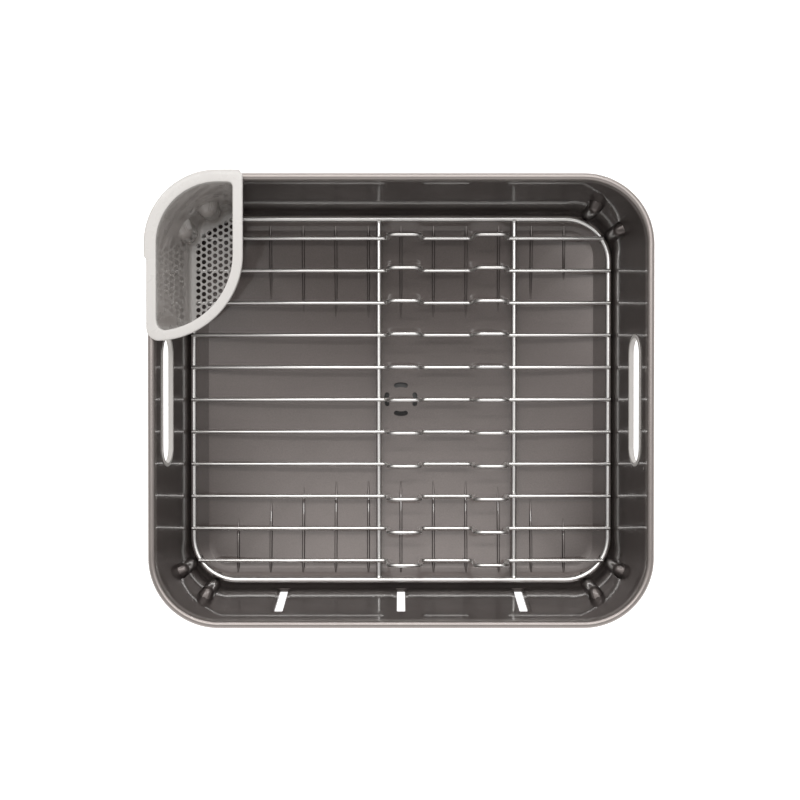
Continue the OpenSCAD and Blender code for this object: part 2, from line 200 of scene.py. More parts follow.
# feet, shutter, its pin and stops, and the screw
FOOT_XY = (135 * MM, 112 * MM)
FOOT_R = 12 * MM
FOOT_H = 9 * MM
LEG_R = 9.9 * MM
LEG_FLARE = 3 * MM
SHUTTER_LO, SHUTTER_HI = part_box("drain_shutter")
SHUTTER_R = 19 * MM
SHUTTER_EDGE = 0.4 * MM
SHUTTER_HOLE = 4.6 * MM
TAB_W = 8 * MM
TAB_X = 22 * MM
PIN_R = 4.3 * MM
STOP_AT = 27 * MM
STOP_TURNS = (-14, 59)
SCREW_LO, SCREW_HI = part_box("drain_screw")
SCREW_R = 8 * MM
SCREW_H = 1.2 * MM
SCREW_HOLE = 1.65 * MM
SHANK_R = 1.6 * MM
CROSS_L = 6 * MM
CROSS_W = 1.1 * MM
CROSS_DEPTH = 0.7 * MM

# ---------- colours, light and camera ----------
TUB_GREY = ((0.117, 0.100, 0.094, 1), (0.130, 0.111, 0.105, 1))
TUB_SPECK = (0.075, 0.064, 0.060, 1)
# painted highlight: the rim bead's colour is lighter than the same finish elsewhere, standing in for the
# sheen it catches
TUB_RIM_SHEEN = (0.352, 0.316, 0.300, 1)
# the caddy's plastic, then a painted-shade copy of it, darker, for its walls
CADDY_PALE = ((0.645, 0.626, 0.606, 1), (0.665, 0.646, 0.626, 1))
CADDY_WALL_SHADE = ((0.46, 0.432, 0.414, 1), (0.49, 0.462, 0.444, 1))
TABLE = 80.0
# parts of the sky: direction, sideways stretch, where its edge starts and ends, strength outside and inside
SKY_TINT = (1.0, 0.985, 0.97, 1)
SKY_DOME = ((0, 0, 1), 1.0, 0.05, 0.45, 0.20, 0.50)
SKY_PATCHES = (((0, -0.42, 1), 1.5, 0.78, 0.98, 0.0, -0.40), ((0, 0.42, 1), 1.8, 0.84, 0.98, 0.0, 1.50),
               ((0, -1, 0.75), 2.0, 0.70, 0.96, 0.0, 0.60))
# lamps: name, place, target, size in metres, power in watts
LAMPS = (("rear_strip", (0.0, 0.57, 2.25), (0, 0, 0), (1.8, 0.10), 5),
         ("low_strip", (0.0, 2.0, 1.5), (0, 0, 0.1), (2.5, 0.12), 11))
LENS = 66.28
SENSOR = 36.0
CAMERA_AT = (-0.0013, 0.0151, 1.340)
TILT_X = math.radians(0.02)
TILT_Y = math.radians(0.680)


# ---------- mesh helpers ----------
def signed_volume(v, quads):
    """Below zero when the faces look inwards."""
    a, b, c, d = (v[quads[:, k]] for k in range(4))
    return (np.einsum("ij,ij->i", a, np.cross(b, c)) + np.einsum("ij,ij->i", a, np.cross(c, d))).sum()


def new_object(name, verts, faces, sharp=40):
    """A smooth-shaded mesh object with edges above the given angle kept sharp."""
    mesh = bpy.data.meshes.new(name)
    mesh.from_pydata([tuple(map(float, p)) for p in verts], [], [tuple(map(int, f)) for f in faces])
    mesh.update()
    mesh.polygons.foreach_set("use_smooth", [True] * len(mesh.polygons))
    mesh.set_sharp_from_angle(angle=math.radians(sharp))
    obj = bpy.data.objects.new(name, mesh)
    bpy.context.scene.collection.objects.link(obj)
    return obj


def loft_data(rings, wrap=False):
    """Faces over closed rings of points, capped at both ends unless wrap joins the last to the first."""
    rings = np.asarray(rings, float)
    m, n = rings.shape[:2]
    verts = rings.reshape(-1, 3)
    j = np.arange(m if wrap else m - 1)[:, None]
    i = np.arange(n)[None, :]
    k = (i + 1) % n
    j1 = (j + 1) % m
    quads = np.stack([j * n + i, j * n + k, j1 * n + k, j1 * n + i], -1).reshape(-1, 4)
    flip = signed_volume(verts, quads) < 0
    if flip:
        quads = quads[:, ::-1]
    faces = [tuple(q) for q in quads]
    if not wrap:
        for ring, first in ((0, True), (m - 1, False)):
            centre = len(verts)
            verts = np.vstack([verts, verts[ring * n:(ring + 1) * n].mean(0)])
            for a in range(n):
                edge = (ring * n + a, ring * n + (a + 1) % n)
                tri = (edge[1], edge[0], centre) if first else (edge[0], edge[1], centre)
                faces.append(tri[::-1] if flip else tri)
    return verts, faces


def join_data(parts):
    """Several meshes as one."""
    verts, faces, base = [], [], 0
    for v, f in parts:
        verts.append(np.asarray(v, float))
        faces += [tuple(i + base for i in face) for face in f]
        base += len(v)
    return np.vstack(verts), faces


def arc_points(cx, cy, r, a0, a1, n):
    """n points on an arc, with angles in degrees."""
    a = np.radians(np.linspace(a0, a1, n))
    return [(cx + r * math.cos(t), cy + r * math.sin(t)) for t in a]


def lathe_data(profile, steps=64, centre=(0, 0)):
    """Solid of revolution about a vertical axis from (radius, z) points."""
    a = np.linspace(0, 2 * math.pi, steps, endpoint=False)
    x, y = np.cos(a), np.sin(a)
    rings = [np.column_stack([centre[0] + r * x, centre[1] + r * y, np.full(steps, z)])
             for r, z in profile]
    return loft_data(rings)


def fillet_path(points, radii, step):
    """Polyline in a plane with its corners rounded, one radius for each inner point; step in degrees."""
    pts = [np.asarray(p, float) for p in points]
    out = [pts[0]]
    for k in range(1, len(pts) - 1):
        r = radii[k - 1]
        d0 = (pts[k - 1] - pts[k]) / np.linalg.norm(pts[k - 1] - pts[k])
        d1 = (pts[k + 1] - pts[k]) / np.linalg.norm(pts[k + 1] - pts[k])
        half = math.acos(np.clip(np.dot(d0, d1), -1, 1)) / 2
        bis = (d0 + d1) / np.linalg.norm(d0 + d1)
        centre = pts[k] + bis * r / math.sin(half)
        a = pts[k] + d0 * r / math.tan(half) - centre
        b = pts[k] + d1 * r / math.tan(half) - centre
        sweep = math.pi - 2 * half
        n = max(2, int(math.degrees(sweep) / step) + 1)
        for s in np.linspace(0, 1, n + 1):
            w = (math.sin((1 - s) * sweep) * a + math.sin(s * sweep) * b) / math.sin(sweep)
            out.append(centre + w)
    out.append(pts[-1])
    return np.array(out)


def round_loop(points, radii, steps):
    """Closed polygon with rounded corners, each turned in about steps steps for a right angle."""
    n = len(points)
    out = []
    for k in range(n):
        tri = [points[k - 1], points[k], points[(k + 1) % n]]
        mid = fillet_path(tri, [radii[k]], step=90 / steps)
        out += [tuple(p) for p in mid[1:-1]]
    return np.array(out)


def tube_data(path, radius, up, closed=False, sides=24, chamfer=0):
    """Round wire along a path that lies in the plane square to up. Radius may change along it."""
    path = np.asarray(path, float)
    radius = np.broadcast_to(np.asarray(radius, float), (len(path),)).copy()
    up = np.asarray(up, float)
    t = np.roll(path, -1, 0) - np.roll(path, 1, 0) if closed else np.gradient(path, axis=0)
    t /= np.linalg.norm(t, axis=1)[:, None]
    side = np.cross(t, up)
    side /= np.linalg.norm(side, axis=1)[:, None]
    if chamfer:
        # both ends close over three narrowing rings
        bend = np.radians([30, 60, 90])
        reach, shrink = chamfer * np.sin(bend) - chamfer, chamfer * (1 - np.cos(bend))
        first = [path[0] - t[0] * d for d in reach][::-1]
        last = [path[-1] + t[-1] * d for d in reach]
        path[0] += t[0] * chamfer
        path[-1] -= t[-1] * chamfer
        path = np.vstack([first, path, last])
        radius = np.concatenate([(radius[0] - shrink)[::-1], radius, radius[-1] - shrink])
        side = np.vstack([[side[0]] * len(bend), side, [side[-1]] * len(bend)])
    a = np.linspace(0, 2 * math.pi, sides, endpoint=False)
    ring = np.cos(a)[None, :, None] * side[:, None, :] + np.sin(a)[None, :, None] * up[None, None, :]
    rings = path[:, None, :] + radius[:, None, None] * ring
    return loft_data(rings, wrap=closed)


def smooth_min(a, b, k):
    """The smaller value, rounded over where the two are within k."""
    h = np.clip(0.5 + 0.5 * (a - b) / k, 0, 1)
    return a * (1 - h) + b * h - k * h * (1 - h)


def smooth_max(a, b, k):
    return -smooth_min(-a, -b, k)


def smooth_step(x):
    x = np.clip(x, 0, 1)
    return x * x * (3 - 2 * x)


def level(points, z):
    """Flat points lifted to a height, one for all or one each."""
    return np.column_stack([points, np.broadcast_to(z, (len(points),))])


def prism_data(outline, origin, along, up, normal, n0, n1):
    """A flat outline carried along a normal."""
    o, a, u, n = (np.asarray(v, float) for v in (origin, along, up, normal))
    flat = np.array([o + a * p[0] + u * p[1] for p in outline])
    return loft_data([flat + n * n0, flat + n * n1])


def cut(obj, parts, name):
    """Takes the given closed shapes out of obj and applies the result."""
    tool = new_object(name, *join_data(parts))
    mod = obj.modifiers.new(name, "BOOLEAN")
    mod.operation = "DIFFERENCE"
    mod.solver = "EXACT"
    mod.object = tool
    graph = bpy.context.evaluated_depsgraph_get()
    mesh = bpy.data.meshes.new_from_object(obj.evaluated_get(graph))
    obj.modifiers.remove(mod)
    old = obj.data
    obj.data = mesh
    bpy.data.meshes.remove(old)
    bpy.data.objects.remove(tool)
    mesh.polygons.foreach_set("use_smooth", [True] * len(mesh.polygons))
    mesh.set_sharp_from_angle(angle=math.radians(35))
    return obj


# ---------- tub ----------
def perimeter(side_step, corner_steps):
    """Points of the core rectangle and outward angles, once around the tub."""
    base, turn = [], []
    corner = [(1, -1), (1, 1), (-1, 1), (-1, -1)]
    for k in range(4):
        a = np.array([corner[k][0] * CORE_X, corner[k][1] * CORE_Y])
        b = np.array([corner[(k + 1) % 4][0] * CORE_X, corner[(k + 1) % 4][1] * CORE_Y])
        n = round(np.linalg.norm(b - a) / side_step)
        for i in range(n):
            base.append(a + (b - a) * i / n)
            turn.append(90 * k)
        for i in range(corner_steps):
            base.append(b)
            turn.append(90 * k + 90 * i / corner_steps)
    return np.array(base), np.radians(turn)


def wall_u(z):
    """Distance of the wall's inner face from the core rectangle at height z."""
    return U_TOP - (WALL_TOP - z) * DRAFT


def dish_height(x, y):
    """Height of the dished floor, lowest at the drain."""
    fy = 1 - (y / (CORE_Y + DISH_U)) ** 2
    fx = 1 - np.abs(x / (CORE_X + DISH_U)) ** 3
    return MID_Z + (DISH_Z - MID_Z) * (1 - fx * fy)


def nub_inset(base, turn, u, z):
    """Pulls a ring inwards over the two bosses of every corner."""
    for sx, sy in CORNERS:
        here = (np.abs(base[:, 0] - sx * CORE_X) < 1e-6) & (np.abs(base[:, 1] - sy * CORE_Y) < 1e-6)
        for k in range(2):
            a = math.radians(NUB_TURN[k])
            centre = math.atan2(sy * math.sin(a), sx * math.cos(a))
            d = (turn - centre + math.pi) % (2 * math.pi) - math.pi
            q = NUB_R ** 2 - (NUB_U[k] * np.sin(d)) ** 2 - max(z - NUB_Z, 0) ** 2
            boss = NUB_U[k] * np.cos(d) - np.sign(q) * np.sqrt(np.abs(q))
            boss = np.where(q < 0, boss + 2 * np.sqrt(np.abs(q)), boss)
            near = here & (np.abs(d) < NUB_SPAN)
            u = np.where(near, smooth_min(u, boss, NUB_BLEND), u)
    return u


def ring(base, turn, u, z):
    """Points at distance u outside the core rectangle, at height z."""
    out = np.stack([np.cos(turn), np.sin(turn)], 1)
    return level(base + out * np.broadcast_to(u, turn.shape)[:, None], z)


def floor_rings(base, turn, drop, count):
    """Rings from the foot of the wall inwards to the drain, following the dish."""
    edge = ring(base, turn, DISH_U, DISH_Z)
    flat = edge[:, :2]
    hub = flat / np.linalg.norm(flat, axis=1)[:, None] * HUB_R
    rings = []
    for t in np.linspace(0, 1, count)[1:]:
        p = flat * (1 - t) + hub * t
        z = dish_height(p[:, 0], p[:, 1]) + (DISH_Z - dish_height(flat[:, 0], flat[:, 1])) * (1 - t) ** 2
        rings.append(level(p, z - drop))
    return rings


def bend_profile():
    """From the dish's edge over a crisp small round, a sloping band and a larger round to the wall."""
    c, s, r = math.cos(BAND_TILT), math.sin(BAND_TILT), BAND_R
    pts = [(DISH_U + EDGE_R * (math.sin(a) - math.sin(DISH_TILT)),
            DISH_Z + EDGE_R * (math.cos(DISH_TILT) - math.cos(a)))
           for a in np.linspace(DISH_TILT, BAND_TILT, 6)]
    u0, z0 = pts[-1]
    du, dz = r * (math.sin(BAND_END) - s), r * (c - math.cos(BAND_END))
    # the band's length is halved in on until the larger round meets the wall
    lo, hi = 0.0, BAND_MAX
    for _ in range(40):
        mid = (lo + hi) / 2
        u, z = u0 + mid * c + du, z0 + mid * s + dz
        lo, hi = (mid, hi) if u < wall_u(z) else (lo, mid)
    pts += [(u0 + t * lo * c, z0 + t * lo * s) for t in (0.33, 0.66)]
    cu, cz = u0 + lo * c - r * s, z0 + lo * s + r * c
    pts += [(cu + r * math.sin(a), cz - r * math.cos(a)) for a in np.linspace(BAND_TILT, BAND_END, 13)]
    return pts


def tub_rings():
    """The tub's whole surface: dish, bend and wall inside, rolled rim, then wall and floor outside."""
    base, turn = perimeter(SIDE_STEP, CORNER_STEPS)
    rings = floor_rings(base, turn, 0, 42)[::-1]
    for u, z in bend_profile()[1:] + [(wall_u(z), z) for z in WALL_LEVELS]:
        rings.append(ring(base, turn, nub_inset(base, turn, np.full(len(turn), u), z), z))
    bead = [(U_TOP, TUB_H - BEAD_ROOT)]
    bead += arc_points(RIM_R - BEAD_R, TUB_H - BEAD_R, BEAD_R, 180, 0, 21)
    bead += [(RIM_R, WALL_TOP)]
    bead += arc_points(RIM_R - SKIRT_R, TUB_H - SKIRT_H + SKIRT_R, SKIRT_R, 0, -90, 6)
    low = TUB_H - SKIRT_H
    thick = WALL / math.cos(LEAN)
    bead += arc_points(wall_u(low) + thick + SKIRT_IN_R, low - SKIRT_IN_R, SKIRT_IN_R, 90, 180, 6)
    outside = [(wall_u(z) + thick, z) for z in np.linspace(124, 36, 12) * MM]
    outside += [(BEND_U + (BEND_R + WALL) * math.sin(a), BEND_Z - (BEND_R + WALL) * math.cos(a))
                for a in np.linspace(BAND_END, math.radians(6), 13)]
    rings += [ring(base, turn, u, z) for u, z in bead + outside]
    return rings + floor_rings(base, turn, WALL, 24)


def wall_frame(side, z):
    """Origin, along, up and outward normal of a wall's inner face: side is right, left or front."""
    c, s = math.cos(LEAN), math.sin(LEAN)
    if side == "front":
        return (0, -CORE_Y - wall_u(z), z), (1, 0, 0), (0, -s, c), (0, -c, -s)
    m = 1 if side == "right" else -1
    return (m * (CORE_X + wall_u(z)), 0, z), (0, m, 0), (m * s, 0, c), (m * c, 0, -s)


def obround(length, r):
    """A slot outline with half-round ends."""
    e = length / 2 - r
    return arc_points(e, 0, r, -90, 90, 24) + arc_points(-e, 0, r, 90, 270, 24)


def round_rect(w, h, r):
    """A rectangle with round corners."""
    p = [(w / 2, -h / 2), (w / 2, h / 2), (-w / 2, h / 2), (-w / 2, -h / 2)]
    return round_loop(p, [r] * 4, 6)


def drain_slot_data(turn, arc=DRAIN_ARC):
    """One curved slot of the drain with round ends, as a tall cutter."""
    half = arc / 2
    outer, inner = DRAIN_R + DRAIN_W / 2, DRAIN_R - DRAIN_W / 2
    pts = arc_points(0, 0, outer, -half, half, 20)
    for a, way in ((half, half), (-half, 180 - half)):
        c = (DRAIN_R * math.cos(math.radians(a)), DRAIN_R * math.sin(math.radians(a)))
        pts += arc_points(c[0], c[1], DRAIN_W / 2, way, way + 180, 12)[1:-1]
        if a > 0:
            pts += arc_points(0, 0, inner, half, -half, 20)
    c, s = math.cos(math.radians(turn)), math.sin(math.radians(turn))
    flat = np.array([(x * c - y * s, x * s + y * c) for x, y in pts])
    return loft_data([level(flat, z) for z in DRAIN_CUT])


def tub_shell():
    """The tray with its rolled rim and all that is cut through it."""
    tub = new_object("tub_shell", *loft_data(tub_rings()))
    cutters = [drain_slot_data(90 * i) for i in range(4)]
    grip = obround(GRIP_LEN + 2 * TRIM_SLEEVE, GRIP_R + TRIM_SLEEVE)
    for side in ("left", "right"):
        cutters.append(prism_data(grip, *wall_frame(side, GRIP_Z), -CUT_PAST, WALL + CUT_PAST))
    slot = round_rect(SLOT_W, SLOT_LEN, SLOT_R)
    recess = round_rect(SLOT_W + 2 * RECESS_EDGE, SLOT_LEN + 2 * RECESS_EDGE, RECESS_R)
    (x, y, z), along, up, normal = wall_frame("front", SLOT_Z)
    shallow = []
    for i in (-1, 0, 1):
        place = ((x + i * SLOT_PITCH, y, z), along, up, normal)
        cutters.append(prism_data(slot, *place, -CUT_PAST, WALL + CUT_PAST))
        shallow.append(prism_data(recess, *place, -CUT_PAST, RECESS_DEPTH))
    cut(tub, cutters, "tub_cutters")
    return cut(tub, shallow, "slot_recesses")


def rib_section(w, h):
    """Half of a fin's upright section: flared foot, straight flank and rounded top."""
    e = min(0.3 * MM, 0.4 * h)
    return [(w + 0.8 * MM, -0.3 * MM), (w + 0.35 * MM, 0.06 * h), (w + 0.08 * MM, 0.25 * h),
            (w, h - e), (w - 0.3 * e, h - 0.3 * e), (w - e, h), (0, h)]


def floor_ribs():
    """Low fins that run from the front and rear walls towards the drain."""
    parts = []
    for i in range(RIB_COUNT):
        x = (i - (RIB_COUNT - 1) / 2) * RIB_PITCH
        inner = RIB_IN + RIB_CURVE * max(abs(x) - RIB_FLAT, 0) ** 2
        outer = CORE_Y + BEND_U + 3 * MM
        for s in (-1, 1):
            rings = []
            for t in np.linspace(0, 1, 26):
                y = inner + (outer - inner) * t
                foot = dish_height(np.array(x), np.array(min(y, CORE_Y + DISH_U)))
                top = min(foot + RIB_H * smooth_step(t * 2.2), EDGE_Z + RIB_RISE)
                h = max(foot + 0.15 * MM, top) - foot
                w = RIB_T / 2 * min(1, 0.35 + t * 6)
                half = rib_section(w, h)
                section = half + [(-a, b) for a, b in half[-2::-1]]
                section += [(-w - 0.7 * MM, -1.2 * MM), (w + 0.7 * MM, -1.2 * MM)]
                rings.append([(x + a, s * y, foot + b) for a, b in section])
            parts.append(loft_data(rings))
    return new_object("floor_ribs", *join_data(parts), sharp=60)


def frame_steps():
    """The small steps in the corners that carry the rack's frame."""
    top, r = FRAME_Z - FRAME_D / 2 - STEP_GAP, STEP_R
    prof = [(r + 0.2 * MM, STEP_FOOT), (r + 0.1 * MM, 24.8 * MM), (r, 26 * MM)]
    prof += arc_points(r - 1 * MM, top - 1 * MM, 1 * MM, 0, 90, 6)
    parts = []
    for sx in (-1, 1):
        for sy in (-1, 1):
            for u, turn in zip(NUB_U, NUB_TURN):
                a = math.radians(turn)
                nub = np.array([u * math.cos(a) + CORE_X - ARC_X, u * math.sin(a) + CORE_Y - ARC_Y])
                p = np.array([ARC_X, ARC_Y]) + nub / np.linalg.norm(nub) * FRAME_R
                parts.append(lathe_data(prof, 40, (sx * p[0], sy * p[1])))
    return new_object("frame_steps", *join_data(parts))


def legs_and_pin():
    """Posts under the tub for the feet, the shutter's pin and its two stops."""
    parts = []
    for sx in (-1, 1):
        for sy in (-1, 1):
            c = (sx * FOOT_XY[0], sy * FOOT_XY[1])
            high = float(dish_height(np.array(c[0]), np.array(c[1]))) - WALL
            prof = [(9.2 * MM, 4.05 * MM), (LEG_R, 4.6 * MM), (LEG_R, high - 4 * MM)]
            prof += arc_points(LEG_R + LEG_FLARE, high - LEG_FLARE, LEG_FLARE, 180, 100, 6)
            parts.append(lathe_data(prof + [(12 * MM, high + 0.6 * MM)], 48, c))
    top = SHUTTER_LO.z - 0.3 * MM
    pin = [(SCREW_HOLE, top + 3 * MM), (SCREW_HOLE, top)]
    pin += arc_points(4 * MM, top + 0.3 * MM, 0.3 * MM, -90, 0, 4)
    parts.append(lathe_data(pin + [(PIN_R, MID_Z - 1.2 * MM)], 48))
    for turn in STOP_TURNS:
        a = math.radians(turn)
        low = SHUTTER_LO.z + 0.6 * MM
        stop = [(1.5 * MM, low), (1.9 * MM, low + 0.5 * MM), (2 * MM, MID_Z - 1 * MM)]
        parts.append(lathe_data(stop, 24, (STOP_AT * math.cos(a), STOP_AT * math.sin(a))))
    return new_object("legs_and_pin", *join_data(parts))


def trim_ring(name, side):
    """A satin ring clipped into a handle opening: a flange on each face and a sleeve between."""
    inner, outer = -TRIM_IN, WALL + TRIM_OUT
    neck, fit = TRIM_SLEEVE - 0.1 * MM, 0.05 * MM
    shape = [(0, inner), (TRIM_W, inner), (TRIM_W, -fit), (neck, -fit),
             (neck, WALL + fit), (TRIM_W, WALL + fit), (TRIM_W, outer), (0, outer)]
    section = round_loop(shape, [r * MM for r in (0.45, 0.45, 0.1, 0.05, 0.05, 0.1, 0.3, 0.3)], 5)
    e = GRIP_LEN / 2 - GRIP_R
    base = [(e, a) for a in np.linspace(-90, 90, 49)] + [(-e, a) for a in np.linspace(90, 270, 49)]
    o, along, up, normal = (np.asarray(v, float) for v in wall_frame(side, GRIP_Z))
    rings = []
    for c, a in base:
        x, y = math.cos(math.radians(a)), math.sin(math.radians(a))
        rings.append([o + along * (c + (GRIP_R + d) * x) + up * (GRIP_R + d) * y + normal * n
                      for d, n in section])
    return new_object(name, *loft_data(rings, wrap=True))


def foot_cup(name, sx, sy):
    """A rubber cup pressed on a leg, with rings moulded in its sole."""
    sole = ((2, 0.9), (3, 0.2), (4.2, 0.05), (5.4, 0.2), (6, 0.8), (6.8, 0.8), (7.4, 0.2), (8.4, 0))
    prof = [(r * MM, z * MM) for r, z in sole]
    prof += arc_points(FOOT_R - 1.6 * MM, 1.6 * MM, 1.6 * MM, -90, 0, 9)
    prof += arc_points(FOOT_R - 0.9 * MM, FOOT_H - 0.9 * MM, 0.9 * MM, 0, 90, 7)
    prof += arc_points(10.6 * MM, FOOT_H - 0.4 * MM, 0.5 * MM, 90, 180, 5)
    prof += [(10 * MM, 5 * MM), (9.4 * MM, 4 * MM), (4 * MM, 4 * MM)]
    return new_object(name, *lathe_data(prof, 72, (sx * FOOT_XY[0], sy * FOOT_XY[1])))


def shutter_disc():
    """The turning plate under the drain with its finger tab."""
    z0, z1 = SHUTTER_LO.z, SHUTTER_HI.z
    tip, w, e = SHUTTER_HI.x, TAB_W / 2, SHUTTER_EDGE
    a0 = math.degrees(math.asin(w / SHUTTER_R))
    flat = arc_points(0, 0, SHUTTER_R, a0, 360 - a0, 90)
    flat += [(TAB_X, -w)] + arc_points(tip - w, 0, w, -90, 90, 18) + [(TAB_X, w)]
    flat = np.array(flat)
    d = flat - np.array([2 * MM, 0])
    inward = d / np.linalg.norm(d, axis=1)[:, None]
    levels = ((z0, e), (z0 + 0.3 * e, 0.3 * e), (z0 + e, 0), (z1 - e, 0), (z1 - 0.3 * e, 0.3 * e), (z1, e))
    disc = new_object("shutter_disc", *loft_data([level(flat - inward * inset, z) for z, inset in levels]))
    hole = lathe_data([(SHUTTER_HOLE, z0 - 1 * MM), (SHUTTER_HOLE, z1 + 1 * MM)], 48)
    slots = [drain_slot_data(45 + 90 * i, SHUTTER_ARC) for i in range(4)]
    return cut(disc, [hole] + slots, "shutter_cutters")


def screw_head():
    """A low round head with a cross recess."""
    z0, z1 = SCREW_LO.z, SCREW_LO.z + SCREW_H
    edge = SCREW_R - 0.8 * MM
    prof = [(0.5 * MM, z0)] + arc_points(edge, z0 + 0.8 * MM, 0.8 * MM, -90, 0, 8)
    prof += [(SCREW_R, z1), (SHANK_R, z1)]
    prof += [(SHANK_R, SCREW_HI.z - 0.6 * MM), (0.6 * MM, SCREW_HI.z)]
    head = new_object("screw_head", *lathe_data(prof, 64))
    for name, w, h in (("cross_a", CROSS_L, CROSS_W), ("cross_b", CROSS_W, CROSS_L)):
        bar = prism_data(round_rect(w, h, 0.2 * MM), (0, 0, z0), (1, 0, 0), (0, 1, 0), (0, 0, 1),
                         -1 * MM, CROSS_DEPTH)
        cut(head, [bar], name)
    return head


# ---------- wire rack ----------
def weld_data(x, y, z, rx, ry, rz, seed):
    """A small lens of squeezed-out metal where two wires are welded."""
    rng = np.random.RandomState(seed + 40)
    ph = rng.uniform(0, 2 * math.pi, 3)
    a = np.linspace(0, 2 * math.pi, 20, endpoint=False)
    wob = 1 + 0.05 * np.sin(3 * a + ph[0]) + 0.04 * np.sin(5 * a + ph[1])
    rings = []
    for t in np.radians(np.linspace(-84, 84, 11)):
        rr = abs(math.cos(t)) ** 0.8
        flat = np.column_stack([x + rx * rr * wob * np.cos(a), y + ry * rr * wob * np.sin(a)])
        rings.append(level(flat, z + rz * math.sin(t)))
    return loft_data(rings)


def frame_wire():
    """The rack's closed outer wire with round corners."""
    path = []
    for k, (sx, sy) in enumerate(CORNERS):
        arc = arc_points(sx * ARC_X, sy * ARC_Y, FRAME_R, 90 * k, 90 * k + 90, 37)
        path += [(x, y, FRAME_Z) for x, y in arc]
    return new_object("frame_wire", *tube_data(path, FRAME_D / 2, (0, 0, 1), closed=True, sides=28))


def rail_wire(name, x):
    """A straight rail with a fillet of weld at each end against the frame."""
    y = FRAME_Y / 2 - FRAME_D / 2 + 0.5 * MM
    end = y - 3 * MM
    along = np.concatenate([np.linspace(-y, -end, 8), np.linspace(-end, end, 12)[1:-1],
                            np.linspace(end, y, 8)])
    near = np.clip(1 - (y - np.abs(along)) / (1.9 * MM), 0, 1)
    radius = RAIL_D / 2 + 0.55 * MM * near ** 2
    path = [(x, t, RAIL_Z) for t in along]
    return new_object(name, *tube_data(path, radius, (0, 0, 1)))


def cross_wire(name, index):
    """One cross wire with its two plate loops and its welds."""
    lo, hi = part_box(name)
    y = (lo.y + hi.y) / 2
    w, high = LOOP_W / 2, WIRE_Z + LOOP_H
    pts, radii = [(lo.x, y, WIRE_Z)], []
    for c in (ZONE_X - LOOP_GAP / 2, ZONE_X + LOOP_GAP / 2):
        pts += [(c - w, y, WIRE_Z), (c - w, y, high), (c + w, y, high), (c + w, y, WIRE_Z)]
        radii += [LOOP_FOOT, LOOP_TOP, LOOP_TOP, LOOP_FOOT]
    pts.append((hi.x, y, WIRE_Z))
    path = fillet_path(pts, radii, step=7)
    parts = [tube_data(path, WIRE_D / 2, (0, 1, 0), chamfer=0.5 * MM)]
    touch = FRAME_Z + FRAME_D / 2
    for s, x in ((-1, lo.x + 1.6 * MM), (1, hi.x - 1.6 * MM)):
        parts.append(weld_data(x - s * 0.1 * MM, y, touch, 1.5 * MM, 1.85 * MM, WELD_H, 7 * index + s))
    for k, x in enumerate(RAIL_X):
        parts.append(weld_data(x, y, WIRE_Z - WIRE_D / 2, 1.6 * MM, 1.8 * MM, WELD_H, 31 * index + k))
    return new_object(name + "_loops", *join_data(parts))


# ---------- caddy ----------
def leaf_distance(x, y, in_rim, in_free, back_r, side_r, notch_r):
    """How far a point lies outside the caddy's outline: negative inside."""
    x0, x1 = CAD_X0 + in_rim, CAD_X1 - in_free
    y0, y1 = CAD_Y0 + in_free, CAD_Y1 - in_rim
    d = np.maximum(np.maximum(x0 - x, x - x1), np.maximum(y0 - y, y - y1))
    for cx, cy, sx, sy, r in ((x0, y1, -1, 1, back_r), (x1, y1, 1, 1, notch_r), (x0, y0, -1, -1, side_r),
                              (x1, y0, 1, -1, CAD_FRONT_R - in_free)):
        px, py = (x - (cx - sx * r)) * sx, (y - (cy - sy * r)) * sy
        d = np.where((px > 0) & (py > 0), np.maximum(d, np.hypot(px, py) - r), d)
    return d


def cavity_distance(x, y, z, inset):
    """How far a point lies outside the tub's cavity at height z, less an inset."""
    u = wall_u(z) - inset
    qx, qy = np.abs(x) - CORE_X, np.abs(y) - CORE_Y
    corner = np.hypot(np.maximum(qx, 0), np.maximum(qy, 0))
    return np.where((qx > 0) & (qy > 0), corner, np.maximum(qx, qy)) - u


def body_distance(x, y, z, inset):
    """How far a point lies outside the caddy's bucket at height z."""
    slip = (CAD_TOP - CAD_T - z) * CAD_LEAN
    free = leaf_distance(x + slip, y - slip, 1 * MM, CAD_LIP - CAD_WALL + inset,
                         CAD_BACK_R, CAD_SIDE_R, CAD_NOTCH_R)
    d = smooth_max(cavity_distance(x, y, z, CAD_GAP + inset), free, 5 * MM)
    for u, turn in zip(NUB_U, NUB_TURN):
        a = math.radians(turn)
        bx, by = -(CORE_X + u * math.cos(a)), CORE_Y + u * math.sin(a)
        r = np.sqrt((x - bx) ** 2 + (y - by) ** 2 + max(z - NUB_Z, 0) ** 2)
        d = smooth_max(d, NUB_R + CAD_GAP + inset - r, 1.4 * MM)
    return d


def trace(distance, turns):
    """Points where rays from the caddy's middle leave a shape."""
    dx, dy = np.cos(turns), np.sin(turns)
    steps = np.linspace(5 * MM, 110 * MM, 260)
    values = np.array([distance(CADDY_C[0] + dx * r, CADDY_C[1] + dy * r) for r in steps])
    first = np.argmax(values > 0, axis=0)
    lo, hi = steps[np.maximum(first - 1, 0)], steps[first]
    for _ in range(22):
        mid = (lo + hi) / 2
        out = distance(CADDY_C[0] + dx * mid, CADDY_C[1] + dy * mid) > 0
        hi = np.where(out, mid, hi)
        lo = np.where(out, lo, mid)
    return np.column_stack([CADDY_C[0] + dx * hi, CADDY_C[1] + dy * hi])


